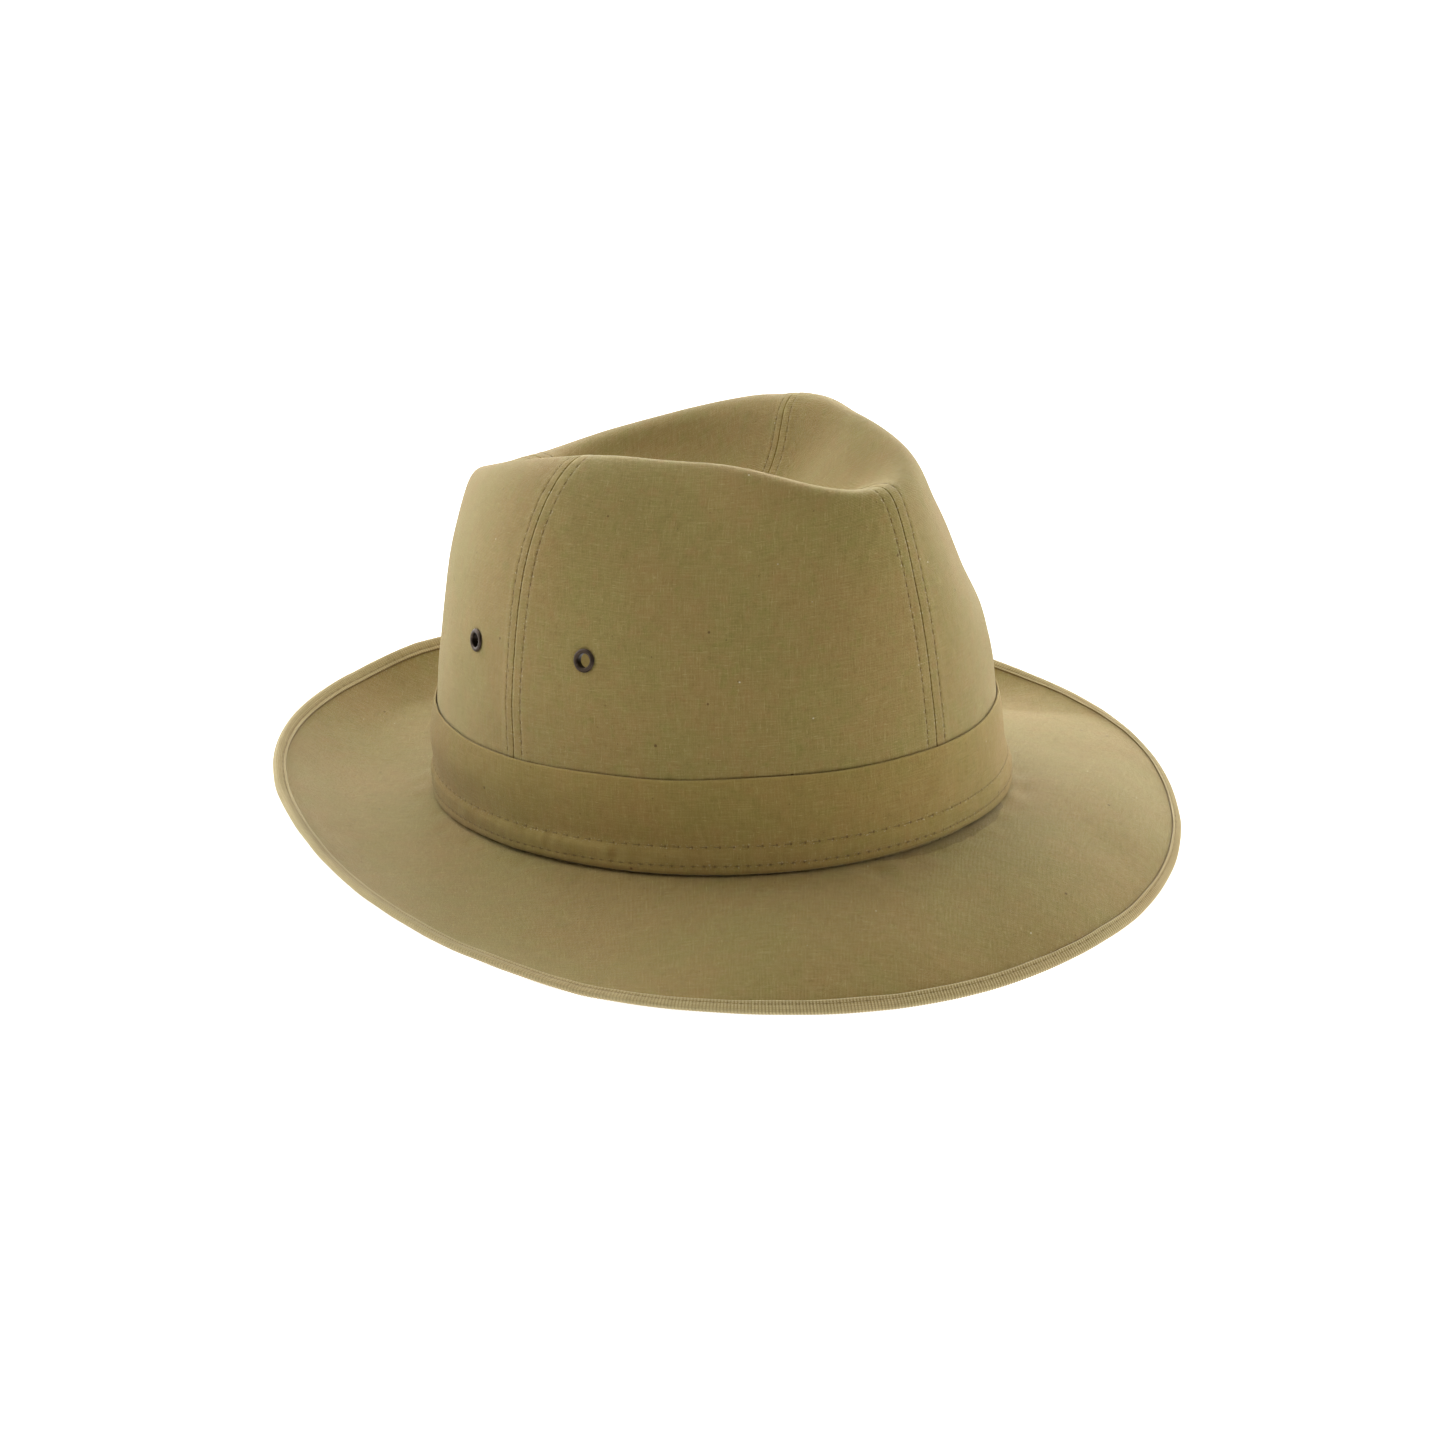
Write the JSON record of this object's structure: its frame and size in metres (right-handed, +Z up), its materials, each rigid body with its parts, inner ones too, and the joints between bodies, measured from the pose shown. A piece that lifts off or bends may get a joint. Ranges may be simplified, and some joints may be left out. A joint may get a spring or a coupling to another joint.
{
  "type": "fedora hat",
  "caption": "Centre-dent canvas fedora with a panelled crown, cloth band, vent eyelets and a tape-bound brim turned down at the front and up at the back.",
  "frame": {"origin": "middle of the hat's outline in plan, on the surface it rests on", "axes": "+Z up from that surface, -Y towards the front of the brim, +X towards the wearer's left"},
  "size_m": [0.2932, 0.3207, 0.1407],
  "materials": {
    "crown_canvas": "matt plain-weave cotton canvas, olive tan",
    "brim_canvas": "matt plain-weave cotton canvas, olive tan",
    "band_canvas": "matt plain-weave cotton canvas, olive tan",
    "binding_tape": "ribbed cotton tape, a little lighter than the canvas",
    "eyelet_metal": "dark antique brass, satin"
  },
  "bodies": {
    "root": {"crown_front_left": "crown_canvas", "crown_back_left": "crown_canvas", "crown_back_right": "crown_canvas", "crown_front_right": "crown_canvas", "brim": "brim_canvas", "brim_binding": "binding_tape", "hat_band": "band_canvas", "eyelet_left_front": "eyelet_metal", "eyelet_left_back": "eyelet_metal", "eyelet_right_back": "eyelet_metal", "eyelet_right_front": "eyelet_metal"}
  },
  "joints": []
}
